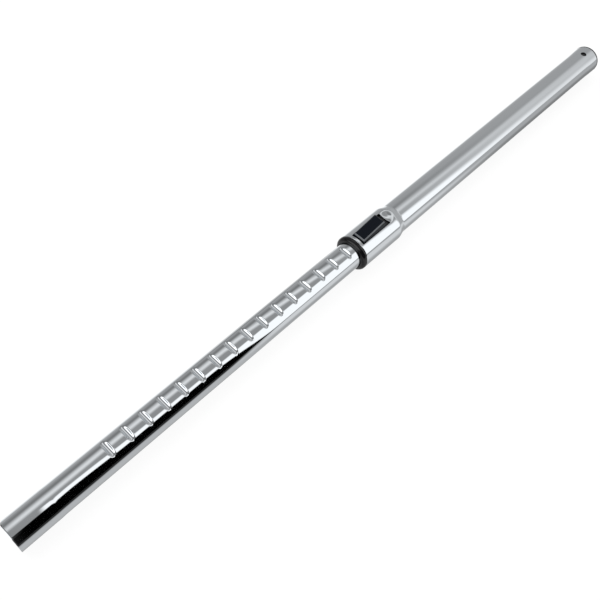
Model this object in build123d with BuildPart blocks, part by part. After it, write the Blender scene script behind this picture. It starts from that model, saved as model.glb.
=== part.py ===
from build123d import *
import math
import os

os.makedirs("parts", exist_ok=True)

# Telescopic vacuum wand, drawn out to its full length and lying along +X.
# X = 0 is the floor head's end, the handle's end is at +X, and +Z is the side with the button.
# All sizes are in millimetres.

# Lower tube: thin round steel, with notches pressed across its top and a key groove along its underside
plug_diameter = 32.0
plug_length = 40.0
plug_taper = 6.0
lower_diameter = 31.6
lower_wall = 0.8
notch_count = 18
notch_pitch = 21.4
first_notch = 104.1
notch_depth = 2.6
notch_radius = 3.2
notch_shoulder = 0.8
key_start = 60.0
key_depth = 1.3
key_radius = 2.0

# Upper tube: thin steel, widened to a collar at its lower end and belled at the handle's end
upper_bore = 35.4
upper_wall = 0.8
collar_diameter = 42.0
collar_length = 60.0
shoulder_length = 9.0
shoulder_radius = 8.0
handle_tube_length = 441.5
bell_length = 8.0
bell_ramp = 3.0
bell_growth = 0.5
mouth_to_lock = 26.4

# Window in the collar, with a thumb dish pressed in behind it
window_floor_side = 22.9
window_handle_side = 24.1
window_width = 17.6
window_corner = 1.2
dish_radius = 15.0
dish_depth = 3.4
dish_offset = 1.5

# Hole for the handle's snap button
snap_hole_diameter = 8.0
snap_hole_from_end = 18.0

# Liner of the handle's socket
socket_diameter = 35.0
liner_rim = 1.2
liner_rounding = 0.35

# End ring and its wiper
ring_proud = 0.1
ring_length = 5.7
ring_front_rounding = 4.4
ring_back_rounding = 0.4
ring_bore_gap = 0.35
ring_skirt = 2.0
ring_skirt_wall = 1.9
wiper_width = 2.8
wiper_height = 1.9
wiper_inset = 1.8

# Guide shells, the sleeve in two halves that the lower tube slides in
guide_gap = 0.08
seat_gap = 0.05
guide_spigot = 7.0
pocket_floor = 0.9
pocket_width = 19.8
rail_channel = 14.0
rail_channel_depth = 1.55
block_length = 12.0
block_width = 9.8
block_height = 4.0

# Slide button, wedge shaped, on two cheeks with a slanted slot in each
button_gap = 0.3
button_face_floor_height = 22.6
button_face_handle_height = 28.0
button_face_width = 14.4
button_face_inset = 0.8
button_back_rake = 4.4
button_length = 39.0
button_front_gap = 1.2
button_bevel = 1.2
button_roof = 1.8
button_end_wall = 2.0
rail_width = 19.2
rail_height = 2.1
rail_length = 35.0
cheek_gap = 0.25

# Lock bolt, a steel cross bolt that drops into a notch
bolt_radius = 2.6
bolt_body_width = 9.4
bolt_clear = 0.25
bolt_seat_gap = 0.1
bolt_body_rise = 4.6
journal_diameter = 2.5
journal_span = 14.0
journal_rise = 3.3
slot_gap = 0.1
lift_ratio = 0.7
button_release = 0.4

# Return spring
spring_wire = 0.5
spring_diameter = 3.6
spring_turns = 5
spring_end_gap = 0.1

# Guide bush and seal on the lower tube's inner end
bush_length = 25.0
bush_lip = 2.0
bush_chamfer = 0.7
bush_lip_bore = 28.6
bush_gap = 0.08
bush_end_gap = 0.4
seal_width = 3.0
seal_height = 0.9
seal_from_end = 5.0
seal_gap = 0.05

# Places that follow from these sizes
lock_x = first_notch + notch_pitch * (notch_count - 1)
mouth_x = lock_x - mouth_to_lock
shoulder_x = mouth_x + collar_length
tube_x = shoulder_x + shoulder_length
guide_x1 = tube_x + guide_spigot
bush_x0 = guide_x1 + bush_end_gap
lower_length = bush_x0 + bush_length - bush_lip
top_x = tube_x + handle_tube_length
window_x0 = lock_x - window_floor_side
window_x1 = lock_x + window_handle_side
window_length = window_x1 - window_x0
window_middle = ((window_x0 + window_x1) / 2, 0)
lower_radius = lower_diameter / 2
plug_radius = plug_diameter / 2
collar_radius = collar_diameter / 2
upper_radius = upper_bore / 2 + upper_wall
ring_radius = collar_radius + ring_proud
reach = collar_diameter


def lower_form(inset, notched):
    """Outer form of the lower tube, every face moved inwards by inset, with or without its notches."""
    round_radius = lower_radius - inset
    end_radius = plug_radius - inset
    with BuildPart() as form:
        with BuildSketch(Plane.XZ):
            with BuildLine():
                Polyline(
                    (0, 0),
                    (0, end_radius),
                    (plug_length, end_radius),
                    (plug_length + plug_taper, round_radius),
                    (lower_length, round_radius),
                    (lower_length, 0),
                    close=True,
                )
            make_face()
        revolve(axis=Axis.X)
        if notched:
            notch_z = lower_radius - notch_depth + notch_radius
            with BuildSketch(Plane.XZ):
                with Locations((first_notch, notch_z)):
                    with GridLocations(notch_pitch, 0, notch_count, 1, align=(Align.MIN, Align.CENTER)):
                        Circle(notch_radius + inset)
            extrude(amount=reach, both=True, mode=Mode.SUBTRACT)
            if inset < notch_shoulder:
                rims = edges().filter_by_position(Axis.Z, lower_radius / 2, lower_radius)
                fillet(rims, notch_shoulder - inset)
        key_z = key_depth - key_radius - lower_radius
        with Locations((key_start, 0, key_z)):
            Sphere(key_radius + inset, mode=Mode.SUBTRACT)
        with BuildSketch(Plane.YZ.offset(key_start)):
            with Locations((0, key_z)):
                Circle(key_radius + inset)
        extrude(amount=lower_length, mode=Mode.SUBTRACT)
    return form.part


def collar_form(inset):
    """Outer form of the upper tube, every face moved inwards by inset, with the thumb dish pressed in."""
    wide = collar_radius - inset
    narrow = upper_radius - inset
    with BuildPart() as form:
        with BuildSketch(Plane.XZ):
            with BuildLine():
                Polyline(
                    (mouth_x, 0),
                    (mouth_x, wide),
                    (shoulder_x, wide),
                    (tube_x, narrow),
                    (top_x - bell_length - bell_ramp, narrow),
                    (top_x - bell_length, narrow + bell_growth),
                    (top_x, narrow + bell_growth),
                    (top_x, 0),
                    close=True,
                )
            make_face()
            fillet(vertices().filter_by_position(Axis.X, shoulder_x, tube_x), shoulder_radius)
        revolve(axis=Axis.X)
        dish_height = collar_radius - dish_depth + dish_radius
        with Locations((window_x1 + dish_offset, 0, dish_height)):
            Sphere(dish_radius + inset, mode=Mode.SUBTRACT)
    return form.part


# Lower tube
with BuildPart() as lower_tube:
    add(lower_form(0, True))
    add(lower_form(lower_wall, True), mode=Mode.SUBTRACT)
lower_tube.part.label = "lower_tube"
export_step(lower_tube.part, "parts/lower_tube.step")

# Upper tube, one drawn and swaged piece with its window and its snap hole
with BuildPart() as upper_tube:
    add(collar_form(0))
    add(collar_form(upper_wall), mode=Mode.SUBTRACT)
    with BuildSketch(Plane.XY):
        with Locations(window_middle):
            RectangleRounded(window_length, window_width, window_corner)
    extrude(amount=reach, mode=Mode.SUBTRACT)
    with BuildSketch(Plane.XY):
        with Locations((top_x - snap_hole_from_end, 0)):
            Circle(snap_hole_diameter / 2)
    extrude(amount=reach, mode=Mode.SUBTRACT)
upper_tube.part.label = "upper_tube"
export_step(upper_tube.part, "parts/upper_tube.step")

# Socket liner, a thin moulded ring pressed into the belled mouth, with a rim over the tube's edge
bell_bore = upper_bore / 2 + bell_growth
with BuildPart() as socket_liner:
    with BuildSketch(Plane.XZ):
        with BuildLine():
            Polyline(
                (top_x - bell_length + seat_gap, socket_diameter / 2),
                (top_x + liner_rim, socket_diameter / 2),
                (top_x + liner_rim, bell_bore + upper_wall),
                (top_x, bell_bore + upper_wall),
                (top_x, bell_bore - seat_gap),
                (top_x - bell_length + seat_gap, bell_bore - seat_gap),
                close=True,
            )
        make_face()
        rim = vertices().group_by(Axis.X)[-1]
        fillet(rim, liner_rounding)
    revolve(axis=Axis.X)
socket_liner.part.label = "socket_liner"
export_step(socket_liner.part, "parts/socket_liner.step")

# End ring, a moulded bead on the collar's edge, with a skirt inside the collar and a groove for the wiper
ring_x = mouth_x - ring_length
collar_bore = collar_radius - upper_wall
wiper_radius = lower_radius + wiper_height
with BuildPart() as end_ring:
    with BuildSketch(Plane.XZ):
        with BuildLine():
            Polyline(
                (ring_x, 0),
                (ring_x, ring_radius),
                (mouth_x, ring_radius),
                (mouth_x, 0),
                close=True,
            )
        make_face()
        fillet(vertices().group_by(Axis.Y)[-1].sort_by(Axis.X)[0], ring_front_rounding)
        fillet(vertices().group_by(Axis.Y)[-1].sort_by(Axis.X)[-1], ring_back_rounding)
        with Locations((mouth_x + ring_skirt / 2, (collar_bore - seat_gap) / 2)):
            Rectangle(ring_skirt, collar_bore - seat_gap)
    revolve(axis=Axis.X)
    add(lower_form(-ring_bore_gap, False), mode=Mode.SUBTRACT)
    with BuildSketch(Plane.YZ.offset(mouth_x)):
        Circle(collar_bore - seat_gap - ring_skirt_wall)
    extrude(amount=ring_skirt, mode=Mode.SUBTRACT)
    with BuildSketch(Plane.YZ.offset(ring_x + wiper_inset)):
        Circle(wiper_radius)
    extrude(amount=wiper_width, mode=Mode.SUBTRACT)
end_ring.part.label = "end_ring"
export_step(end_ring.part, "parts/end_ring.step")

# Wiper, a felt ring in the end ring's groove
with BuildPart() as wiper_ring:
    with BuildSketch(Plane.YZ.offset(ring_x + wiper_inset + seat_gap)):
        Circle(wiper_radius - seat_gap)
    extrude(amount=wiper_width - 2 * seat_gap)
    add(lower_form(-guide_gap, False), mode=Mode.SUBTRACT)
wiper_ring.part.label = "wiper_ring"
export_step(wiper_ring.part, "parts/wiper_ring.step")

# Guide sleeve, moulded in two halves, with a pocket for the button and a slotted block for the bolt
guide_x0 = mouth_x + ring_skirt + seat_gap
pocket_z = lower_radius + pocket_floor
block_top = pocket_z + block_height
channel_z = pocket_z - rail_channel_depth
with BuildPart() as guide_sleeve:
    add(collar_form(upper_wall + seat_gap))
    with BuildSketch(Plane.YZ.offset(guide_x1)):
        Circle(reach)
    extrude(amount=handle_tube_length, mode=Mode.SUBTRACT)
    with BuildSketch(Plane.YZ.offset(guide_x0)):
        Circle(reach)
    extrude(amount=-guide_x0, mode=Mode.SUBTRACT)
    add(lower_form(-guide_gap, False), mode=Mode.SUBTRACT)
    with BuildSketch(Plane.XY.offset(pocket_z)):
        with Locations(window_middle):
            Rectangle(window_length, pocket_width)
        with Locations((lock_x, 0)):
            Rectangle(block_length, block_width, mode=Mode.SUBTRACT)
    extrude(amount=reach, mode=Mode.SUBTRACT)
    with BuildSketch(Plane.XY.offset(channel_z)):
        with Locations(window_middle):
            Rectangle(window_length, pocket_width)
            Rectangle(window_length, rail_channel, mode=Mode.SUBTRACT)
    extrude(amount=reach, mode=Mode.SUBTRACT)
    with BuildSketch(Plane.XY.offset(block_top)):
        with Locations((lock_x, 0)):
            Rectangle(block_length, pocket_width)
    extrude(amount=reach, mode=Mode.SUBTRACT)
    with BuildSketch(Plane.XY):
        with Locations((lock_x, 0)):
            Rectangle(2 * (bolt_radius + slot_gap), block_width)
    extrude(amount=reach, mode=Mode.SUBTRACT)

with BuildPart() as guide_shell_top:
    add(guide_sleeve.part)
    split(bisect_by=Plane.XY, keep=Keep.TOP)
guide_shell_top.part.label = "guide_shell_top"
export_step(guide_shell_top.part, "parts/guide_shell_top.step")

with BuildPart() as guide_shell_bottom:
    add(guide_sleeve.part)
    split(bisect_by=Plane.XY, keep=Keep.BOTTOM)
guide_shell_bottom.part.label = "guide_shell_bottom"
export_step(guide_shell_bottom.part, "parts/guide_shell_bottom.step")

# Lock bolt, at rest just clear above the last notch
bolt_z = lower_radius + bolt_clear + bolt_radius
journal_z = bolt_z + journal_rise
with BuildPart() as lock_bolt:
    with BuildSketch(Plane.XZ):
        with Locations((lock_x, bolt_z)):
            Circle(bolt_radius)
        with Locations((lock_x, bolt_z + bolt_body_rise / 2)):
            Rectangle(2 * bolt_radius, bolt_body_rise)
    extrude(amount=bolt_body_width / 2, both=True)
    with BuildSketch(Plane.XZ):
        with Locations((lock_x, journal_z)):
            Circle(journal_diameter / 2)
    extrude(amount=journal_span / 2, both=True)
lock_bolt.part.label = "lock_bolt"
export_step(lock_bolt.part, "parts/lock_bolt.step")

# Slide button, a wedge on two cheeks, with rails that the collar holds down
lock_travel = (notch_depth + bolt_clear - bolt_seat_gap) / lift_ratio
window_half = window_width / 2
sill_z = math.sqrt(collar_bore**2 - window_half**2)
button_x0 = window_x0 + button_front_gap
button_x1 = button_x0 + button_length
button_z0 = pocket_z + cheek_gap
spring_z = button_z0 + (spring_diameter + spring_wire) / 2
button_middle = Location(((button_x0 + button_x1) / 2, 0))
face_x0 = button_x0 + button_face_inset
face_x1 = button_x1 - button_back_rake
face_run = face_x1 - face_x0
face_rise = button_face_handle_height - button_face_floor_height
face_middle = ((face_x0 + face_x1) / 2, 0, (button_face_floor_height + button_face_handle_height) / 2)
face_plane = Plane(origin=face_middle, x_dir=(face_run, 0, face_rise), z_dir=(-face_rise, 0, face_run))
recess_x0 = button_x0 + button_end_wall
recess_x1 = button_x1 - button_end_wall
with BuildPart() as slide_button:
    with BuildSketch(Plane.XY.offset(sill_z)) as sill:
        with Locations(button_middle):
            Rectangle(button_length, window_width - 2 * button_gap)
    with BuildSketch(face_plane):
        Rectangle(math.hypot(face_run, face_rise), button_face_width)
    loft(ruled=True)
    face_edges = faces().sort_by(Axis.Z)[-1].edges()
    chamfer(face_edges, button_bevel)
    extrude(sill.sketch, amount=button_z0 - sill_z)
    with BuildSketch(Plane.XY.offset(channel_z + cheek_gap)):
        with Locations(button_middle):
            Rectangle(rail_length, rail_width)
            Rectangle(rail_length, rail_channel + 2 * cheek_gap, mode=Mode.SUBTRACT)
    extrude(amount=rail_height)
    with BuildSketch(Plane.XZ):
        with BuildLine():
            slope = face_rise / face_run
            roof_z0 = button_face_floor_height - button_roof + slope * (recess_x0 - face_x0)
            roof_z1 = button_face_handle_height - button_roof - slope * button_end_wall
            Polyline(
                (recess_x0, 0),
                (recess_x0, roof_z0),
                (face_x1 - button_end_wall, roof_z1),
                (recess_x1, spring_z + spring_diameter / 2 + spring_wire),
                (recess_x1, 0),
                close=True,
            )
        make_face()
    extrude(amount=block_width / 2 + cheek_gap, both=True, mode=Mode.SUBTRACT)
    with BuildSketch(Plane.XZ):
        slot_start = (lock_x - lock_travel, journal_z - lift_ratio * lock_travel)
        slot_run = lock_travel + button_release
        slot_middle = (slot_start[0] + slot_run / 2, slot_start[1] + lift_ratio * slot_run / 2, 0)
        slot_angle = math.degrees(math.atan(lift_ratio))
        with Locations(Location(slot_middle, (0, 0, slot_angle))):
            SlotCenterToCenter(math.hypot(slot_run, lift_ratio * slot_run), journal_diameter + 2 * slot_gap)
    extrude(amount=journal_span / 2 + slot_gap, both=True, mode=Mode.SUBTRACT)
slide_button.part.label = "slide_button"
export_step(slide_button.part, "parts/slide_button.step")

# Return spring, between the guide's block and the button's end wall
spring_x0 = lock_x + block_length / 2 + spring_end_gap + spring_wire / 2
spring_x1 = recess_x1 - spring_end_gap - spring_wire / 2
with BuildPart() as return_spring:
    with BuildLine() as coil:
        spring_length = spring_x1 - spring_x0
        Helix(
            spring_length / spring_turns,
            spring_length,
            spring_diameter / 2,
            center=(spring_x0, 0, spring_z),
            direction=(1, 0, 0),
        )
    with BuildSketch(Plane(origin=coil.line @ 0, z_dir=coil.line % 0)):
        Circle(spring_wire / 2)
    sweep(is_frenet=True)
return_spring.part.label = "return_spring"
export_step(return_spring.part, "parts/return_spring.step")

# Guide bush, moulded, over the lower tube's inner end
bush_radius = upper_bore / 2 - bush_gap
bush_x1 = lower_length + bush_lip
seal_x = bush_x1 - seal_from_end - seal_width
with BuildPart() as guide_bush:
    with BuildSketch(Plane.YZ.offset(bush_x0)):
        Circle(bush_radius)
    extrude(amount=bush_length)
    chamfer(edges().group_by(Axis.X)[-1], bush_chamfer)
    add(lower_form(-seat_gap, False), mode=Mode.SUBTRACT)
    with BuildSketch(Plane.YZ.offset(bush_x0)):
        Circle(bush_lip_bore / 2)
    extrude(amount=bush_length, mode=Mode.SUBTRACT)
    with BuildSketch(Plane.YZ.offset(seal_x)):
        Circle(bush_radius + seal_height)
        Circle(bush_radius - seal_height, mode=Mode.SUBTRACT)
    extrude(amount=seal_width, mode=Mode.SUBTRACT)
guide_bush.part.label = "guide_bush"
export_step(guide_bush.part, "parts/guide_bush.step")

# Seal ring in the bush's groove
with BuildPart() as bush_seal:
    with BuildSketch(Plane.YZ.offset(seal_x + seat_gap)):
        Circle(upper_bore / 2 - seal_gap)
        Circle(bush_radius - seal_height + seat_gap, mode=Mode.SUBTRACT)
    extrude(amount=seal_width - 2 * seat_gap)
bush_seal.part.label = "bush_seal"
export_step(bush_seal.part, "parts/bush_seal.step")
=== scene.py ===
import math

import bpy
import numpy as np
from mathutils import Matrix, Vector


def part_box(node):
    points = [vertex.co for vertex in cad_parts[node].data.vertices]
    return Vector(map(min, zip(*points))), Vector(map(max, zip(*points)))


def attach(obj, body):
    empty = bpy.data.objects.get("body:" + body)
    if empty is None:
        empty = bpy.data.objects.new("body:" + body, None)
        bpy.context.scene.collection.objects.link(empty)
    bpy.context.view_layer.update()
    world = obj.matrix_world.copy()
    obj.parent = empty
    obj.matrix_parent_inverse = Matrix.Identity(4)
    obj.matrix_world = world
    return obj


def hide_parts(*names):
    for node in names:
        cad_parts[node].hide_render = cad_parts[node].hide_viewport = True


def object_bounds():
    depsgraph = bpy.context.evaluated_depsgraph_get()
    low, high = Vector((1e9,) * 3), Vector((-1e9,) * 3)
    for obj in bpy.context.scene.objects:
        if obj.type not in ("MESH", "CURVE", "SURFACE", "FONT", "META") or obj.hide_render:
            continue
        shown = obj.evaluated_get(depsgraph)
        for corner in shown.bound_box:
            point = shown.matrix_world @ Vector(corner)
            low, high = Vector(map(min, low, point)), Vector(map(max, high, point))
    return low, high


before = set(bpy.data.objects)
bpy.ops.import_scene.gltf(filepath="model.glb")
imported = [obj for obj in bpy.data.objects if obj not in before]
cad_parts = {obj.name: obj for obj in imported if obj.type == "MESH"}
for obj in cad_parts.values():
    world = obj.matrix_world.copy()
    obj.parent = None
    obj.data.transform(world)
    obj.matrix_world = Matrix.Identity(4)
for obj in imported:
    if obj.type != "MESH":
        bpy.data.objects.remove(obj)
cad_low, cad_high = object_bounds()
scene = bpy.context.scene
scene.view_settings.view_transform = "Standard"
mm = 0.001

# Camera
# The wand is seen from above its floor end, a little to the side, so that it runs from the lower
# left to the upper right. The camera's place and its right and up directions are in the wand's own
# frame.
camera_place = Vector((0.8, -251.6, 638.8)) * mm
camera_right = Vector((0.6831, -0.7242, 0.0939)).normalized()
camera_up = Vector((0.5704, 0.6094, 0.5507))
camera_lens = 43.77
camera_sensor = 36.0
camera_clip = 10 * mm
camera_back = camera_right.cross(camera_up).normalized()
camera_up = camera_back.cross(camera_right)

camera_data = bpy.data.cameras.new("camera")
camera_data.lens = camera_lens
camera_data.sensor_width = camera_sensor
camera_data.clip_start = camera_clip
camera = bpy.data.objects.new("camera", camera_data)
camera.matrix_world = Matrix(
    [
        (camera_right[i], camera_up[i], camera_back[i], camera_place[i])
        for i in range(3)
    ]
    + [(0, 0, 0, 1)]
)
scene.collection.objects.link(camera)
scene.camera = camera


# Studio
# A dim room with a long soft box beside the wand and a white panel behind the camera. A black flag
# stands below the box at the floor end. Polished metal shows them as bands along the tubes, and the
# camera itself meets plain white.
def add_node(tree, kind, **settings):
    """One node of that kind, with its attributes set by name."""
    made = tree.nodes.new(kind)
    for key, value in settings.items():
        setattr(made, key, value)
    return made


def link(tree, source, target):
    """Joins an output to an input, or sets the input to a plain number."""
    if hasattr(source, "is_output"):
        tree.links.new(source, target)
    else:
        target.default_value = source


def math_node(tree, operation, first, second=0.0, third=0.0):
    """The output of a Math node fed with numbers or outputs."""
    made = add_node(tree, "ShaderNodeMath", operation=operation)
    link(tree, first, made.inputs[0])
    link(tree, second, made.inputs[1])
    link(tree, third, made.inputs[2])
    return made.outputs[0]


def soft_step(tree, value, start, end, low=0.0, high=1.0):
    """A value that goes smoothly from low, before start, to high, after end."""
    made = add_node(tree, "ShaderNodeMapRange", interpolation_type="SMOOTHSTEP")
    for source, target in zip((value, start, end, low, high), made.inputs):
        link(tree, source, target)
    return made.outputs[0]


def mix_node(tree, share, first, second):
    """first where share is 0, second where it is 1, and a straight mix between."""
    made = add_node(tree, "ShaderNodeMix", data_type="FLOAT")
    link(tree, share, made.inputs[0])
    link(tree, first, made.inputs[2])
    link(tree, second, made.inputs[3])
    return made.outputs[0]


# A direction is given by around, its angle in degrees about the wand from straight up towards the
# camera's side, and by along, its slope towards the handle.
world = bpy.data.worlds.new("studio")
world.use_nodes = True
scene.world = world
tree = world.node_tree
tree.nodes.clear()
direction = add_node(tree, "ShaderNodeTexCoord").outputs["Generated"]
split = add_node(tree, "ShaderNodeSeparateXYZ")
link(tree, direction, split.inputs[0])
sideways = math_node(tree, "MULTIPLY", split.outputs["Y"], -1.0)
around = math_node(tree, "DEGREES", math_node(tree, "ARCTAN2", sideways, split.outputs["Z"]))
height_squared = math_node(tree, "MULTIPLY", split.outputs["Z"], split.outputs["Z"])
across_squared = math_node(tree, "MULTIPLY_ADD", sideways, sideways, height_squared)
along = math_node(tree, "DIVIDE", split.outputs["X"], math_node(tree, "SQRT", across_squared))

# The room's dim bands, as (angle, level), turn with the slope past band_start, and fade to a plain
# room towards the handle. A soft change is (start, end), or (start, end, before, after).
band_stops = (
    (-120.0, 0.40),
    (-92.0, 0.38),
    (-63.0, 0.23),
    (-29.0, 0.88),
    (-6.0, 0.34),
    (8.0, 0.33),
)
band_low = band_stops[0][0]
band_high = band_stops[-1][0]
band_start = 0.38
band_turn = 62.0
band_fade = (0.50, 1.15, 0.0, 0.92)
plain_levels = (-18.0, 10.0, 0.41, 0.66)
past_start = math_node(tree, "MAXIMUM", math_node(tree, "SUBTRACT", along, band_start), 0.0)
turned = math_node(tree, "SUBTRACT", around, math_node(tree, "MULTIPLY", past_start, band_turn))
ramp_place = add_node(tree, "ShaderNodeMapRange")
for source, target in zip((turned, band_low, band_high, 0.0, 1.0), ramp_place.inputs):
    link(tree, source, target)
bands = add_node(tree, "ShaderNodeValToRGB")
bands.color_ramp.interpolation = "EASE"
while len(bands.color_ramp.elements) < len(band_stops):
    bands.color_ramp.elements.new(0.5)
for stop, (angle, level) in zip(bands.color_ramp.elements, band_stops):
    stop.position = (angle - band_low) / (band_high - band_low)
    stop.color = (level, level, level, 1.0)
link(tree, ramp_place.outputs[0], bands.inputs[0])
fade = soft_step(tree, along, *band_fade)
plain = soft_step(tree, around, *plain_levels)
room = mix_node(tree, fade, bands.outputs[0], plain)

# The soft box starts at an edge that turns with the slope, and ends just above the table. The edge
# grows softer and the box dimmer towards the handle.
edge_base = 14.0
edge_slope = 25.0
edge_bend = 0.65
edge_bend_slope = 50.0
edge_floor_end = (0.07, 0.21, -13.0, 0.0)
edge_highest = 56.0
edge_softness_below = (0.55, 1.0, -3.0, -14.0)
edge_softness_above = (0.55, 1.0, 6.0, 18.0)
box_floor_end = (0.045, 0.075)
box_foot = (84.0, 88.0, 1.0, 0.0)
box_levels = (0.85, 1.30, 1.24, 0.93)
edge_start = math_node(tree, "MULTIPLY_ADD", along, edge_slope, edge_base)
past_bend = math_node(tree, "MAXIMUM", math_node(tree, "SUBTRACT", along, edge_bend), 0.0)
edge_near = math_node(tree, "ADD", edge_start, soft_step(tree, along, *edge_floor_end))
edge_far = math_node(tree, "MULTIPLY_ADD", past_bend, edge_bend_slope, edge_near)
edge = math_node(tree, "MINIMUM", edge_far, edge_highest)
edge_low = math_node(tree, "ADD", edge, soft_step(tree, along, *edge_softness_below))
edge_high = math_node(tree, "ADD", edge, soft_step(tree, along, *edge_softness_above))
box_near = soft_step(tree, along, *box_floor_end)
box_in = math_node(tree, "MULTIPLY", soft_step(tree, around, edge_low, edge_high), box_near)
box_out = soft_step(tree, around, *box_foot)
box_level = soft_step(tree, along, *box_levels)
lit = mix_node(tree, math_node(tree, "MULTIPLY", box_in, box_out), room, box_level)

# The flag's upper edge climbs away from the floor end, then drops to the table.
flag_climb = (0.08, 0.19, 25.0, 40.5)
flag_drop = (0.325, 0.47, 0.0, 47.0)
flag_softness = 5.0
flag_rise = soft_step(tree, along, *flag_climb)
flag_fall = soft_step(tree, along, *flag_drop)
flag_top = math_node(tree, "ADD", flag_rise, flag_fall)
flag_end = math_node(tree, "ADD", flag_top, flag_softness)
flag = soft_step(tree, around, flag_top, flag_end, 1.0, 0.0)
flagged = math_node(tree, "MULTIPLY", lit, flag)

# The panel behind the camera, the ceiling past the handle, and the dark far end
panel_level = 1.6
panel_surround = 0.06
panel_far_side = (-80.0, -70.0)
panel_near_side = (36.0, 46.0, 1.0, 0.0)
panel_slope = (-0.9, -0.55, 1.0, 0.12)
back_half = (-0.06, 0.02, 1.0, 0.0)
far_end_start = (1.4, 1.9)
far_end_levels = (2.6, 3.5, 0.47, 0.12)
panel_in = soft_step(tree, around, *panel_far_side)
panel_out = soft_step(tree, around, *panel_near_side)
panel_edge = math_node(tree, "MULTIPLY", soft_step(tree, along, *panel_slope), panel_out)
panel_share = math_node(tree, "MULTIPLY", panel_in, panel_edge)
panel = mix_node(tree, panel_share, panel_surround, panel_level)
backwards = soft_step(tree, along, *back_half)
forwards = soft_step(tree, along, *far_end_start)
far_end = soft_step(tree, along, *far_end_levels)
reflected = mix_node(tree, forwards, mix_node(tree, backwards, flagged, panel), far_end)

room_level = 0.75
rays = add_node(tree, "ShaderNodeLightPath")
shown = mix_node(tree, rays.outputs["Is Glossy Ray"], room_level, reflected)
seen = mix_node(tree, rays.outputs["Is Camera Ray"], shown, 1.0)
background = add_node(tree, "ShaderNodeBackground")
background.inputs["Color"].default_value = (1.0, 1.0, 1.0, 1.0)
link(tree, seen, background.inputs["Strength"])
world_output = add_node(tree, "ShaderNodeOutputWorld")
link(tree, background.outputs[0], world_output.inputs["Surface"])

# Lamp
# One large square soft lamp stands high above the wand and behind it, and gives its shadow a
# direction. Polished metal doesn't show it.
lamp_size = 1.6
lamp_energy = 14.0
lamp_place = Vector((0.1, 0.9, 1.7))
lamp_aim = Vector((0.48, 0.0, 0.0))
lamp_data = bpy.data.lights.new("soft_lamp", "AREA")
lamp_data.shape = "SQUARE"
lamp_data.size = lamp_size
lamp_data.energy = lamp_energy
lamp = bpy.data.objects.new("soft_lamp", lamp_data)
lamp.location = lamp_place
lamp.rotation_mode = "QUATERNION"
lamp.rotation_quaternion = (lamp_aim - lamp_place).to_track_quat("-Z", "Y")
lamp.visible_glossy = False
scene.collection.objects.link(lamp)

# Table
# A plain white table under the wand. It keeps a light shadow. To polished metal it is a glow with
# painted light and shade: bright near the wand and dim far off, with a painted shadow strip and a
# dark patch painted for the flag's foot at the floor end.
table_half = 6.0
table_mesh = bpy.data.meshes.new("table")
table_mesh.from_pydata(
    [
        (-table_half, -table_half, cad_low.z),
        (table_half, -table_half, cad_low.z),
        (table_half, table_half, cad_low.z),
        (-table_half, table_half, cad_low.z),
    ],
    [],
    [(0, 1, 2, 3)],
)
table = bpy.data.objects.new("table", table_mesh)
scene.collection.objects.link(table)
table_white = bpy.data.materials.new("table_white")
table_white.use_nodes = True
tree = table_white.node_tree
tree.nodes.clear()
table_place = add_node(tree, "ShaderNodeSeparateXYZ")
link(tree, add_node(tree, "ShaderNodeTexCoord").outputs["Object"], table_place.inputs[0])
table_x = table_place.outputs["X"]
near_side = math_node(tree, "MULTIPLY", table_place.outputs["Y"], -1.0)

# Beyond the wand the table's painted glow dims with distance, and once more across a painted dip
# before the collar.
far_levels = (0.03, 0.13, 1.12, 0.45)
dip_start = (0.18, 0.36)
dip_end = (0.43, 0.47, -0.36, 0.0)
far_plain = soft_step(tree, table_place.outputs["Y"], *far_levels)
dip_in = soft_step(tree, table_x, *dip_start)
dip_out = soft_step(tree, table_x, *dip_end)
dip = math_node(tree, "MULTIPLY_ADD", dip_in, dip_out, 1.0)
far_side = math_node(tree, "MULTIPLY", far_plain, dip)

# On the camera's side it has a painted shadow strip past shade_x, and it is painted dimmer
# towards the handle.
strip_darkens = (0.010, 0.026, 0.62, 0.41)
strip_lightens = (0.026, 0.070, 0.0, 0.37)
unshaded_levels = (0.008, 0.034, 0.41, 0.56)
shade_x = (0.24, 0.36)
handle_dims = (0.58, 0.80, 1.0, 0.6)
shade_in = soft_step(tree, near_side, *strip_darkens)
shade_out = soft_step(tree, near_side, *strip_lightens)
shaded = math_node(tree, "ADD", shade_in, shade_out)
unshaded = soft_step(tree, near_side, *unshaded_levels)
near_plain = mix_node(tree, soft_step(tree, table_x, *shade_x), unshaded, shaded)
near_level = math_node(tree, "MULTIPLY", near_plain, soft_step(tree, table_x, *handle_dims))

# A dark patch painted for the flag's foot slants across the near side at the floor end.
foot_slant = -0.5
foot_handle_side = (0.20, 0.30, 1.0, 0.0)
foot_wand_side = (0.07, 0.16)
painted_foot_level = 0.03
foot_x = math_node(tree, "MULTIPLY_ADD", near_side, foot_slant, table_x)
foot_out = soft_step(tree, foot_x, *foot_handle_side)
painted_foot = math_node(tree, "MULTIPLY", soft_step(tree, near_side, *foot_wand_side), foot_out)
with_painted_foot = mix_node(tree, painted_foot, near_level, painted_foot_level)
on_near_side = math_node(tree, "GREATER_THAN", near_side, 0.0)
painted_table_level = mix_node(tree, on_near_side, far_side, with_painted_foot)
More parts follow.
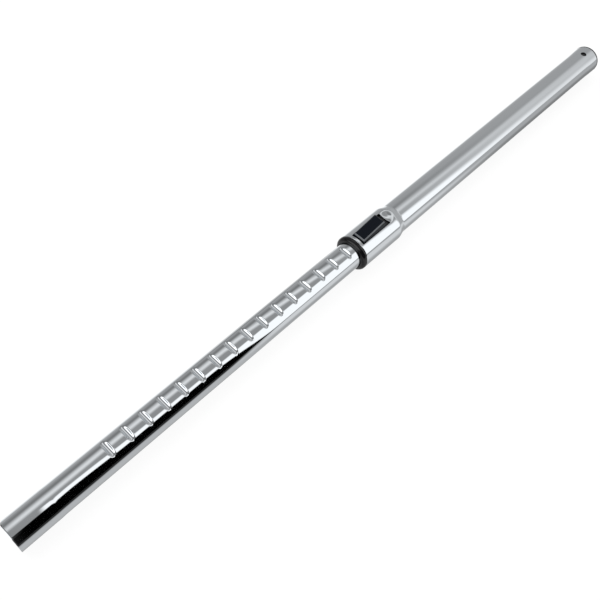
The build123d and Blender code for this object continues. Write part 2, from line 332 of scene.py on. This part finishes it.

# To the camera the table is mostly its own even glow, and the rest of it takes the shadow. Glossy
# rays see only the glow, at its painted level of light and shade.
table_brightness = 1.08
table_glow_share = 0.82
rays = add_node(tree, "ShaderNodeLightPath")
table_diffuse = add_node(tree, "ShaderNodeBsdfDiffuse")
table_diffuse.inputs["Color"].default_value = (0.86, 0.86, 0.86, 1.0)
table_glow = add_node(tree, "ShaderNodeEmission")
# Glossy rays get the painted level, with its painted shadow strip, dip and dark patch.
glow_level = mix_node(tree, rays.outputs["Is Glossy Ray"], table_brightness, painted_table_level)
link(tree, glow_level, table_glow.inputs["Strength"])
camera_share = math_node(tree, "MULTIPLY", rays.outputs["Is Camera Ray"], table_glow_share)
glow_share = math_node(tree, "MAXIMUM", camera_share, rays.outputs["Is Glossy Ray"])
table_mix = add_node(tree, "ShaderNodeMixShader")
link(tree, glow_share, table_mix.inputs[0])
link(tree, table_diffuse.outputs[0], table_mix.inputs[1])
link(tree, table_glow.outputs[0], table_mix.inputs[2])
table_output = add_node(tree, "ShaderNodeOutputMaterial")
link(tree, table_mix.outputs[0], table_output.inputs["Surface"])
table_mesh.materials.append(table_white)


# Chrome and bare steel
# The tubes are plated bright on the outside, with faint wiping smears in the gloss and the slight
# waviness that drawing leaves along them. Inside and on cut edges the steel is dull, and its dark
# colour there is partly painted shade, so that the open ends and holes read black.
def new_material(name):
    """A material with a Principled BSDF, as (material, tree, shader)."""
    made = bpy.data.materials.new(name)
    made.use_nodes = True
    tree = made.node_tree
    return made, tree, tree.nodes["Principled BSDF"]


def new_group(name, inputs, output):
    """A shader node group with number inputs, as (group, its inputs, its output socket), where
    inputs is (name, value) pairs."""
    group = bpy.data.node_groups.new(name, "ShaderNodeTree")
    for input_name, value in inputs:
        socket = group.interface.new_socket(
            input_name, in_out="INPUT", socket_type="NodeSocketFloat"
        )
        socket.default_value = value
    group.interface.new_socket(output, in_out="OUTPUT", socket_type="NodeSocketFloat")
    entry = add_node(group, "NodeGroupInput")
    leave = add_node(group, "NodeGroupOutput")
    return group, entry.outputs, leave.inputs[0]


def place_group(tree, group, **values):
    """The output of a group placed in a material with its own input values."""
    made = add_node(tree, "ShaderNodeGroup", node_tree=group)
    for name, value in values.items():
        made.inputs[name].default_value = value
    return made.outputs[0]


# Noise that can be drawn out along the wand, between two levels, shared by all the finishes
noise_low = 0.3
noise_high = 0.7
grain, entries, grain_out = new_group(
    "grain",
    (("scale", 1000.0), ("stretch", 1.0), ("low", 0.0), ("high", 1.0)),
    "level",
)
grain_stretch = add_node(grain, "ShaderNodeCombineXYZ")
link(grain, math_node(grain, "DIVIDE", 1.0, entries["stretch"]), grain_stretch.inputs[0])
link(grain, 1.0, grain_stretch.inputs[1])
link(grain, 1.0, grain_stretch.inputs[2])
grain_place = add_node(grain, "ShaderNodeVectorMath", operation="MULTIPLY")
link(grain, add_node(grain, "ShaderNodeTexCoord").outputs["Object"], grain_place.inputs[0])
link(grain, grain_stretch.outputs[0], grain_place.inputs[1])
grain_noise = add_node(grain, "ShaderNodeTexNoise")
link(grain, grain_place.outputs[0], grain_noise.inputs["Vector"])
link(grain, entries["scale"], grain_noise.inputs["Scale"])
grain_level = soft_step(
    grain, grain_noise.outputs[0], noise_low, noise_high, entries["low"], entries["high"]
)
link(grain, grain_level, grain_out)


def bumped(tree, shader, height, strength, distance):
    """Joins a height through a Bump node to a shader's normal."""
    bump = add_node(tree, "ShaderNodeBump")
    bump.inputs["Strength"].default_value = strength
    bump.inputs["Distance"].default_value = distance
    link(tree, height, bump.inputs["Height"])
    link(tree, bump.outputs[0], shader.inputs["Normal"])


chrome, tree, shader = new_material("chrome")
chrome_smears = place_group(tree, grain, scale=60.0, stretch=4.0, low=0.025, high=0.055)
shader.inputs["Base Color"].default_value = (0.755, 0.785, 0.812, 1.0)
shader.inputs["Metallic"].default_value = 1.0
link(tree, chrome_smears, shader.inputs["Roughness"])
chrome_waves = place_group(tree, grain, scale=180.0, stretch=16.0)
bumped(tree, shader, chrome_waves, strength=0.035, distance=0.2 * mm)

bare_steel_and_shade, tree, shader = new_material("bare_steel_and_shade")
steel_scratches = place_group(tree, grain, scale=400.0, stretch=20.0, low=0.45, high=0.6)
# This dark base colour is partly painted shade for the tubes' insides and cut edges.
shader.inputs["Base Color"].default_value = (0.10, 0.10, 0.105, 1.0)
shader.inputs["Metallic"].default_value = 0.6
link(tree, steel_scratches, shader.inputs["Roughness"])


# Lower tube
# One drawn steel tube, chromed. Round notches for the lock are pressed across its top, and a key
# groove runs along its underside. Its first 40 mm are a little wider, to plug into the floor head.
def carved(first, second, rounding):
    """Distance to what lies inside two forms at once, from the distances to each, which are
    negative inside. It is max(a, b) away from their crossing and hypot(a + r, b + r) - r along
    it."""
    deep = np.minimum(np.maximum(first, second), -rounding)
    return deep + np.hypot(np.maximum(first + rounding, 0.0), np.maximum(second + rounding, 0.0))


def solid(name, points, quads, materials, chosen):
    """A smooth-shaded mesh object at the origin from points and four-cornered faces. chosen gives
    each face's place in the list of materials."""
    mesh = bpy.data.meshes.new(name)
    for material in materials:
        mesh.materials.append(material)
    mesh.vertices.add(len(points))
    mesh.vertices.foreach_set("co", points.astype(np.float32).ravel())
    mesh.loops.add(quads.size)
    mesh.loops.foreach_set("vertex_index", quads.astype(np.int32).ravel())
    mesh.polygons.add(len(quads))
    mesh.polygons.foreach_set("loop_start", np.arange(0, quads.size, 4, dtype=np.int32))
    mesh.polygons.foreach_set("material_index", chosen)
    mesh.update(calc_edges=True)
    mesh.validate()
    mesh.polygons.foreach_set("use_smooth", np.ones(len(mesh.polygons), bool))
    made = bpy.data.objects.new(name, mesh)
    scene.collection.objects.link(made)
    return made


def pipe(name, outer, inner, kept, outside, inside):
    """A tube's wall from two grids of points, rows along the tube and columns round it. Cells that
    aren't kept are holes, and a strip joins both grids wherever a kept cell has no neighbour.
    outside is the material of its outer face, and inside that of its inner face and its edges."""
    rows, columns = outer.shape[:2]
    numbers = np.arange(rows * columns).reshape(rows, columns)
    cells = np.argwhere(kept)
    i, j = cells[:, 0], cells[:, 1]
    after = (j + 1) % columns
    corners = [numbers[i, j], numbers[i + 1, j], numbers[i + 1, after], numbers[i, after]]
    layer = rows * columns
    quads = [np.stack(corners, 1), np.stack(corners[::-1], 1) + layer]
    past_ends = np.pad(kept, ((1, 1), (0, 0)))
    neighbours = [
        np.roll(kept, 1, 1)[i, j],
        past_ends[i + 2, j],
        np.roll(kept, -1, 1)[i, j],
        past_ends[i, j],
    ]
    for side, present in enumerate(neighbours):
        start = corners[side][~present]
        end = corners[(side + 1) % 4][~present]
        quads.append(np.stack([end, start, start + layer, end + layer], 1))
    quads = np.concatenate(quads)
    chosen = np.zeros(len(quads), np.int32)
    chosen[len(cells) :] = 1
    points = np.concatenate([outer.reshape(-1, 3), inner.reshape(-1, 3)])
    used, renumbered = np.unique(quads, return_inverse=True)
    return solid(name, points[used], renumbered.reshape(-1, 4), [outside, inside], chosen)


plug_radius = 16.0 * mm
plug_length = 40.0 * mm
plug_taper = 6.0 * mm
lower_radius = 15.8 * mm
lower_wall = 0.8 * mm
notch_count = 18
notch_pitch = 21.4 * mm
first_notch = 104.1 * mm
notch_depth = 2.6 * mm
notch_radius = 3.2 * mm
notch_shoulder = 0.8 * mm
notch_z = lower_radius - notch_depth + notch_radius
key_start = 60.0 * mm
key_depth = 1.3 * mm
key_radius = 2.0 * mm
key_z = key_depth - key_radius - lower_radius
lip = 0.15 * mm
lower_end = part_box("lower_tube")[1].x
halvings = 22


def lower_form(x, angle, inset):
    """Points of the lower tube moved inwards by inset. Each lies where its ray from the axis leaves
    the round tube less the notches and the key groove, found by halving. At both ends the outer
    and the inner face draw together by a lip."""
    taper = np.clip((x - plug_length) / plug_taper, 0.0, 1.0)
    round_radius = (plug_radius + (lower_radius - plug_radius) * taper - inset)[:, None]
    index = np.clip(np.round((x - first_notch) / notch_pitch), 0, notch_count - 1)
    from_notch = (x - first_notch - index * notch_pitch)[:, None]
    before_key = np.maximum(key_start - x, 0.0)[:, None]
    inside = np.broadcast_to(round_radius - 1.2 * notch_depth, (len(x), len(angle)))
    outside = inside + 1.3 * notch_depth
    for _ in range(halvings):
        radius = (inside + outside) / 2
        side = radius * np.sin(angle)
        height = radius * np.cos(angle)
        notch = notch_radius + inset - np.hypot(from_notch, height - notch_z)
        from_key = np.sqrt(before_key**2 + side**2 + (height - key_z) ** 2)
        notched = carved(radius - round_radius, notch, notch_shoulder - inset)
        form = carved(notched, key_radius + inset - from_key, 0.0)
        outside = np.where(form > 0, radius, outside)
        inside = np.where(form > 0, inside, radius)
    from_end = np.minimum(x, lower_end - x)[:, None]
    radius = radius - np.clip(lip - from_end, 0.0, lip) * np.sign(0.5 * lower_wall - inset)
    along = np.broadcast_to(x[:, None], radius.shape)
    return np.stack([along, radius * np.sin(angle), radius * np.cos(angle)], 2)


# Rows lie close together over each notch, and columns over the notches and the key groove.
notch_half = [0.56, 1.09, 1.6, 2.06, 2.45, 2.77, 2.95, 3.1, 3.25, 3.4, 3.55, 3.75, 4.2]
notch_half = np.array(notch_half) * mm
notch_rows = np.concatenate([-notch_half, [0.0], notch_half])
notch_places = first_notch + notch_pitch * np.arange(notch_count)
key_rows = key_start + np.array([-1.9, -1.6, -1.2, -0.6, 0.0, 8.0, 20.0, 32.0]) * mm
lower_rows = np.unique(
    np.concatenate(
        [
            [0.0, lip, 1 * mm, 10 * mm, 25 * mm],
            [plug_length, plug_length + plug_taper / 2, plug_length + plug_taper],
            key_rows,
            (notch_places[:, None] + notch_rows).ravel(),
            notch_places + notch_pitch / 2,
            np.linspace(notch_places[-1] + notch_pitch, lower_end - 1 * mm, 6),
            [lower_end - lip, lower_end],
        ]
    )
)
notch_columns = [0, 4, 8, 12, 15, 18, 21, 24, 26, 28, 30, 31.5, 33, 34.5, 36, 38, 41]
key_columns = [170, 172, 173.5, 175, 176.5, 178, 180]
half_columns = np.concatenate([notch_columns, np.linspace(47, 164, 18), key_columns])
lower_angles = np.radians(np.concatenate([half_columns, -half_columns[-2:0:-1]]))
lower_piece = pipe(
    "lower_tube_chromed",
    lower_form(lower_rows, lower_angles, 0.0),
    lower_form(lower_rows, lower_angles, lower_wall),
    np.ones((len(lower_rows) - 1, len(lower_angles)), bool),
    chrome,
    bare_steel_and_shade,
)
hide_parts("lower_tube")
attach(lower_piece, "lower_section")


# Upper tube
# One drawn steel tube, chromed, swaged out to a collar over the lower tube. The collar has a window
# for the button and a thumb dish pressed in behind it, and the far end has a hole for the handle's
# snap button.
def soft_min(first, second, blend):
    """The lower of two heights, with a rounded crossing: where they differ by less than blend, the
    result dips below both by up to a quarter of blend."""
    share = np.clip(0.5 + 0.5 * (second - first) / blend, 0.0, 1.0)
    return second * (1 - share) + first * share - blend * share * (1 - share)


mouth_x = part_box("upper_tube")[0].x
top_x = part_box("upper_tube")[1].x
collar_radius = 21.0 * mm
upper_radius = 18.5 * mm
upper_wall = 0.8 * mm
shoulder_x = mouth_x + 60.0 * mm
shoulder_length = 9.0 * mm
shoulder_end = shoulder_x + shoulder_length
shoulder_blend = 0.3 * mm
bell_length = 8.0 * mm
bell_ramp = 26.0 * mm
bell_start = top_x - 0.5 * bell_length - bell_ramp
bell_growth = 0.5 * mm
rim_length = 1.8 * mm
rim_drop = 0.6 * mm
window_start = 445.0 * mm
window_end = 492.0 * mm
window_middle = (window_start + window_end) / 2
window_half = 8.8 * mm
window_corner = 1.2 * mm
dish_radius = 15.0 * mm
dish_centre = window_end + 1.5 * mm
dish_depth = 3.4 * mm
dish_rim = 2.6 * mm
snap_radius = 4.0 * mm
snap_x = top_x - 18.0 * mm


def collar_profile(x):
    """Radius along the upper tube: the collar, a cone for its shoulder, the tube and the end's
    bell, which grows by b * b * (3 - 2 * b) of its whole growth over its ramp."""
    slope = (collar_radius - upper_radius) / shoulder_length
    cone = collar_radius - (x - shoulder_x) * slope
    swaged = soft_min(np.full_like(x, collar_radius), cone, shoulder_blend)
    swaged = -soft_min(-swaged, np.full_like(x, -upper_radius), shoulder_blend)
    bell = np.clip((x - bell_start) / bell_ramp, 0.0, 1.0)
    return swaged + bell_growth * bell * bell * (3 - 2 * bell)


def rounded(first, second, radius, reach):
    """Factor for points in a corner block so that square loops at radius become arcs and stay
    square at reach. first and second are distances past the corner's centre."""
    both = np.maximum(first, second)
    length = np.hypot(first, second)
    inside = (first > 0) & (second > 0)
    shrink = np.where(inside, both / np.maximum(length, 1e-9), 1.0)
    fade = np.clip((both - radius) / (reach - radius), 0.0, 1.0)
    return shrink + (1 - shrink) * fade


def upper_form(x, width, angle, inset):
    """Points of the upper tube moved inwards by inset. Columns within the window's width keep their
    width, and the others keep their share of the way round. Square loops of points round the
    window's corners and the snap hole become arcs. The mouth has a lip, and the handle's end turns
    in on a quarter circle. The dish lowers what lies inside its sphere."""
    x = np.broadcast_to(x[:, None], (len(x), len(width))).copy()
    width = np.broadcast_to(width[None, :], x.shape).copy()
    from_middle = x - window_middle
    past_x = np.abs(from_middle) - (window_end - window_start) / 2 + window_corner
    past_y = np.abs(width) - window_half + window_corner
    scale = rounded(past_x, past_y, window_corner, 3 * window_corner)
    x = np.where(past_x > 0, x + np.sign(from_middle) * past_x * (scale - 1), x)
    width = np.where(past_y > 0, width + np.sign(width) * past_y * (scale - 1), width)
    aside = x - snap_x
    scale = rounded(np.abs(aside), np.abs(width), snap_radius, 1.9 * snap_radius)
    x = snap_x + aside * scale
    width = width * scale
    radius = collar_profile(x.ravel()).reshape(x.shape)
    mouth = np.clip(lip - (x - mouth_x), 0.0, lip) * np.sign(0.5 * upper_wall - inset)
    turned = np.clip(1.0 - (top_x - x) / rim_length, 0.0, 1.0)
    rim = rim_drop * (1.0 - np.sqrt(1.0 - turned**2)) * (inset < 0.5 * upper_wall)
    radius = radius - inset - mouth - rim
    edge = np.arcsin(window_half / radius)
    within = np.abs(angle)[None, :] <= 1.0
    share = np.maximum(np.abs(angle)[None, :] - 1.0, 0.0)
    turn = np.where(
        within,
        np.arcsin(np.clip(width / radius, -1.0, 1.0)),
        np.sign(angle)[None, :] * (edge + share * (math.pi - edge)),
    )
    side = radius * np.sin(turn)
    height = radius * np.cos(turn)
    sphere = dish_radius + inset
    sphere_z = collar_radius - dish_depth + dish_radius
    from_centre = (x - dish_centre) ** 2 + side**2
    dish = sphere_z - np.sqrt(np.maximum(sphere**2 - from_centre, 0.0))
    dished = (from_centre < sphere**2) & (height > 0)
    height = np.where(dished, soft_min(height, dish, dish_rim), height)
    return np.stack([x, side, height], 2)


# Columns run from the window's middle line out to its sides, then round the tube. Rows lie close
# together at the window's corners, over the dish and the shoulder, at the snap hole and the rim.
window_columns = [0, 0.8, 1.6, 2.4, 3.2, 4.0, 4.15, 4.9, 5.7, 6.6, 7.6, 8.0, 8.4, 8.8]
window_columns = np.array(window_columns) * mm
round_shares = np.concatenate([[0.002], np.linspace(0.02, 1.0, 38)])
half_width = np.concatenate([window_columns, np.full(len(round_shares), window_half)])
half_angle = np.concatenate([window_columns / window_half, 1.0 + round_shares])
widths = np.concatenate([half_width, -half_width[-2:0:-1]])
angles = np.concatenate([half_angle, -half_angle[-2:0:-1]])
corner_rows = np.array([0.0, 0.4, 0.8, 1.2]) * mm
rim_rows = np.array([1.8, 1.5, 1.2, 0.9, 0.65, 0.45, 0.3, 0.2, 0.1, 0.05, 0.0]) * mm
snap_half = np.array([0.8, 1.6, 2.4, 3.2, 4.0, 4.15, 4.9, 5.7, 6.5]) * mm
snap_rows = np.concatenate([-snap_half, [0.0], snap_half])
edge_row = 0.15 * mm
dish_row = 0.5 * mm
upper_rows = np.unique(
    np.round(
        np.concatenate(
            [
                [mouth_x, mouth_x + lip, mouth_x + 1 * mm],
                [window_start - edge_row],
                window_start + corner_rows,
                np.linspace(window_start + 3 * mm, window_end - 3 * mm, 14),
                window_end - corner_rows,
                [window_end + edge_row],
                np.arange(window_end + 0.7 * mm, shoulder_end + 4 * mm, dish_row),
                np.linspace(shoulder_end + 5 * mm, snap_x - 8 * mm, 60),
                snap_x + snap_rows,
                np.linspace(snap_x + 8 * mm, top_x - 2.5 * mm, 8),
                top_x - rim_rows,
            ]
        ),
        8,
    )
)
row_middles = (upper_rows[1:] + upper_rows[:-1]) / 2
column_middles = (widths + np.roll(widths, -1)) / 2
top_columns = np.maximum(np.abs(angles), np.abs(np.roll(angles, -1))) <= 1.0
window_rows = (row_middles > window_start) & (row_middles < window_end)
snap_columns = top_columns & (np.abs(column_middles) < snap_radius)
in_window = window_rows[:, None] & top_columns[None, :]
in_snap = (np.abs(row_middles - snap_x) < snap_radius)[:, None] & snap_columns[None, :]
upper_piece = pipe(
    "upper_tube_chromed",
    upper_form(upper_rows, widths, angles, 0.0),
    upper_form(upper_rows, widths, angles, upper_wall),
    ~(in_window | in_snap),
    chrome,
    bare_steel_and_shade,
)
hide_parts("upper_tube")
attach(upper_piece, "upper_section")


# Black mouldings
# The two guide shells in the collar, the bush on the lower tube's inner end and the liner of the
# handle's socket are moulded in black plastic with a fine even grain, and are pressed into place.
def dress(name, material):
    """Gives a CAD node one material of its own."""
    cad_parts[name].data.materials.clear()
    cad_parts[name].data.materials.append(material)


moulded_black, tree, shader = new_material("moulded_black")
moulded_grain = place_group(tree, grain, scale=2500.0, low=0.16, high=0.24)
shader.inputs["Base Color"].default_value = (0.003, 0.003, 0.004, 1.0)
shader.inputs["Specular IOR Level"].default_value = 0.45
link(tree, moulded_grain, shader.inputs["Roughness"])
for name in ("guide_shell_top", "guide_shell_bottom", "guide_bush", "socket_liner"):
    dress(name, moulded_black)


# End ring
# A black moulded bead on the collar's edge, which closes it round the lower tube. Its front is a
# quarter round, a skirt inside the collar holds it, and a groove in its bore holds the wiper.
def spun(x, radius):
    """A surface turned about the wand's axis from a profile of places and radii, row by row."""
    turn = np.linspace(0, 2 * math.pi, spun_columns, endpoint=False)
    along = np.broadcast_to(x[:, None], (len(x), len(turn)))
    return np.stack([along, radius[:, None] * np.sin(turn), radius[:, None] * np.cos(turn)], 2)


spun_columns = 96
ring_radius = 21.1 * mm
ring_x = mouth_x - 5.7 * mm
ring_round = 4.4 * mm
ring_back = 0.4 * mm
ring_skirt = 2.0 * mm
skirt_radius = 20.15 * mm
skirt_bore = 18.25 * mm
ring_bore = 16.15 * mm
wiper_bore = 17.7 * mm
wiper_start = ring_x + 1.8 * mm
wiper_end = wiper_start + 2.8 * mm
front_turn = np.linspace(0, math.pi / 2, 17)
back_turn = np.linspace(0, math.pi / 2, 4)
ring_outer_x = np.concatenate(
    [
        ring_x + ring_round * (1 - np.cos(front_turn)),
        mouth_x - ring_back * (1 - np.sin(back_turn)),
        mouth_x + np.array([0.0, 0.0, 0.0, 0.02, 1.0, 2.0]) * mm,
    ]
)
ring_outer_radius = np.concatenate(
    [
        ring_radius - ring_round * (1 - np.sin(front_turn)),
        ring_radius - ring_back * (1 - np.cos(back_turn)),
        [skirt_radius + 0.3 * mm, skirt_radius + 0.02 * mm, skirt_radius],
        [skirt_radius, skirt_radius, skirt_radius],
    ]
)
bore_profile = np.array(
    [
        (ring_x, ring_bore),
        (wiper_start, ring_bore),
        (wiper_start, wiper_bore),
        (wiper_end, wiper_bore),
        (wiper_end, ring_bore),
        (mouth_x, ring_bore),
        (mouth_x, skirt_bore),
        (mouth_x + ring_skirt, skirt_bore),
    ]
)
bore_corners = np.arange(len(bore_profile))
bore_share = np.linspace(0, bore_corners[-1], len(ring_outer_x))
ring_piece = pipe(
    "end_ring_moulded",
    spun(ring_outer_x, ring_outer_radius),
    spun(
        np.interp(bore_share, bore_corners, bore_profile[:, 0]),
        np.interp(bore_share, bore_corners, bore_profile[:, 1]),
    ),
    np.ones((len(ring_outer_x) - 1, spun_columns), bool),
    moulded_black,
    moulded_black,
)
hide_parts("end_ring")
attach(ring_piece, "upper_section")

# Shade sleeve
# A thin black moulded sleeve, given as the end of the liner's skirt. It lies against the socket's
# wall behind the snap hole as a dark sheet of painted shade for the socket's inside, so that the
# hole shows black.
shade_sleeve_x = np.linspace(top_x - 27.0 * mm, top_x - 8.0 * mm, 5)
shade_sleeve_outer = 17.66 * mm
shade_sleeve_inner = 17.52 * mm
shade_sleeve = pipe(
    "shade_sleeve",
    spun(shade_sleeve_x, np.full_like(shade_sleeve_x, shade_sleeve_outer)),
    spun(shade_sleeve_x, np.full_like(shade_sleeve_x, shade_sleeve_inner)),
    np.ones((len(shade_sleeve_x) - 1, spun_columns), bool),
    moulded_black,
    moulded_black,
)
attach(shade_sleeve, "upper_section")

# Slide button
# A wedge moulded in a deep blue black with a soft shine. It slides in the collar's window on two
# rails. Its bevels on the front and on the camera's side carry a painted highlight, a paler grey
# where they would catch the soft box.
face_half = 7.2 * mm
face_front = 447.0 * mm
bevel_width = 1.2 * mm
bevel_soft = 0.15 * mm
sill_height = 20.5 * mm
button_black, tree, shader = new_material("button_black")
button_place = add_node(tree, "ShaderNodeSeparateXYZ")
link(tree, add_node(tree, "ShaderNodeTexCoord").outputs["Object"], button_place.inputs[0])
from_side = math_node(tree, "ADD", button_place.outputs["Y"], face_half)
from_front = math_node(tree, "SUBTRACT", button_place.outputs["X"], face_front)
bevel_end = bevel_width + bevel_soft
face_end = 2 * face_half + bevel_soft
on_side = soft_step(tree, from_side, bevel_width, bevel_end, 1.0, 0.0)
on_front = soft_step(tree, from_front, bevel_width, bevel_end, 1.0, 0.0)
past_side = soft_step(tree, from_side, -bevel_soft, 0.0)
past_front = soft_step(tree, from_front, -bevel_soft, 0.0)
far_edge = soft_step(tree, from_side, 2 * face_half, face_end, 1.0, 0.0)
above = soft_step(tree, button_place.outputs["Z"], sill_height, sill_height + bevel_width)
on_face = math_node(tree, "MULTIPLY", math_node(tree, "MULTIPLY", past_side, past_front), far_edge)
bevel_area = math_node(tree, "MULTIPLY", math_node(tree, "MAXIMUM", on_side, on_front), above)
bevel_highlight = math_node(tree, "MULTIPLY", bevel_area, on_face)
# The paler grey on the front and camera-side bevels is a painted highlight.
button_colour = add_node(tree, "ShaderNodeMix", data_type="RGBA")
link(tree, bevel_highlight, button_colour.inputs[0])
button_colour.inputs[6].default_value = (0.002, 0.004, 0.008, 1.0)
button_colour.inputs[7].default_value = (0.15, 0.16, 0.17, 1.0)
link(tree, button_colour.outputs[2], shader.inputs["Base Color"])
shader.inputs["Specular IOR Level"].default_value = 0.12
button_grain = place_group(tree, grain, scale=2500.0, low=0.22, high=0.30)
link(tree, button_grain, shader.inputs["Roughness"])
dress("slide_button", button_black)

# Lock bolt and return spring
# The bolt is a short bar with a turned journal at each end, which the button's slots carry. The
# spring is wound from thin wire and sits between the guide's block and the button's end wall. Both
# are zinc-plated steel, dull and slightly uneven.
zinc_steel, tree, shader = new_material("zinc_steel")
shader.inputs["Base Color"].default_value = (0.52, 0.52, 0.54, 1.0)
shader.inputs["Metallic"].default_value = 1.0
zinc_grain = place_group(tree, grain, scale=900.0, low=0.28, high=0.42)
link(tree, zinc_grain, shader.inputs["Roughness"])
dress("lock_bolt", zinc_steel)
dress("return_spring", zinc_steel)

# Felt wiper
# A ring cut from pressed dark grey felt, matt and fibrous. It sits in the end ring's groove and
# wipes the lower tube.
felt_grey, tree, shader = new_material("felt_grey")
felt_fibres = place_group(tree, grain, scale=1800.0, stretch=0.5, low=0.03, high=0.10)
felt_colour = add_node(tree, "ShaderNodeCombineColor")
for channel in range(3):
    link(tree, felt_fibres, felt_colour.inputs[channel])
link(tree, felt_colour.outputs[0], shader.inputs["Base Color"])
shader.inputs["Roughness"].default_value = 0.95
felt_nap = place_group(tree, grain, scale=1800.0, stretch=0.5)
bumped(tree, shader, felt_nap, strength=0.4, distance=0.3 * mm)
dress("wiper_ring", felt_grey)

# Seal ring
# A moulded ring of soft black rubber in the bush's groove. It closes the gap between the tubes
# against the suction.
seal_rubber, tree, shader = new_material("seal_rubber")
shader.inputs["Base Color"].default_value = (0.012, 0.012, 0.012, 1.0)
rubber_bloom = place_group(tree, grain, scale=1200.0, low=0.55, high=0.7)
link(tree, rubber_bloom, shader.inputs["Roughness"])
dress("bush_seal", seal_rubber)
